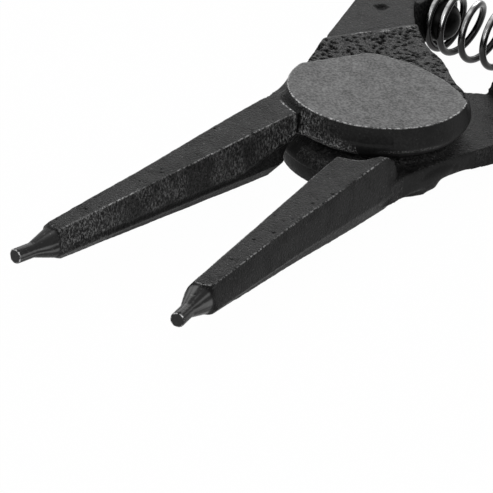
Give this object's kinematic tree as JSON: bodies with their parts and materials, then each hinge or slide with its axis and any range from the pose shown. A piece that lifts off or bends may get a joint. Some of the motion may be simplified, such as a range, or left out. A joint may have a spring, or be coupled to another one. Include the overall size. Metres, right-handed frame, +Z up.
{
  "type": "circlip pliers",
  "caption": "Straight circlip pliers with forged lap-jointed halves, round tip pins, a coil spring between the arms and dipped plastic grips; squeezing spreads the tips.",
  "frame": {"origin": "where the pivot axis meets the ground face the pliers lie on", "axes": "+Z up along the pivot, -Y towards the tips, +Y towards the handles, +X to the right half's side"},
  "size_m": [0.0708, 0.1827, 0.0094],
  "materials": {
    "blackened_steel": "black phosphated forging with worn edges and ground joint faces",
    "ground_steel": "fine ground, flush with the joint face",
    "spring_wire": "drawn spring wire",
    "peg_steel": "black oxide",
    "dipped_plastic": "dip-moulded soft plastic"
  },
  "bodies": {
    "lower_half": {"right_half": "blackened_steel", "pivot_rivet": "ground_steel", "right_spring_peg": "peg_steel", "right_grip": "dipped_plastic", "opening_spring": "spring_wire"},
    "upper_half": {"left_half": "blackened_steel", "left_spring_peg": "peg_steel", "left_grip": "dipped_plastic"}
  },
  "joints": [
    {"name": "pivot", "type": "hinge", "parent": "lower_half", "child": "upper_half", "pos_m": [0, 0, 0.0047], "axis": [0, 0, -1], "range_deg": [-18.7, 19], "stiffness_Nm_per_rad": 1.2, "deforming": ["opening_spring"]}
  ]
}
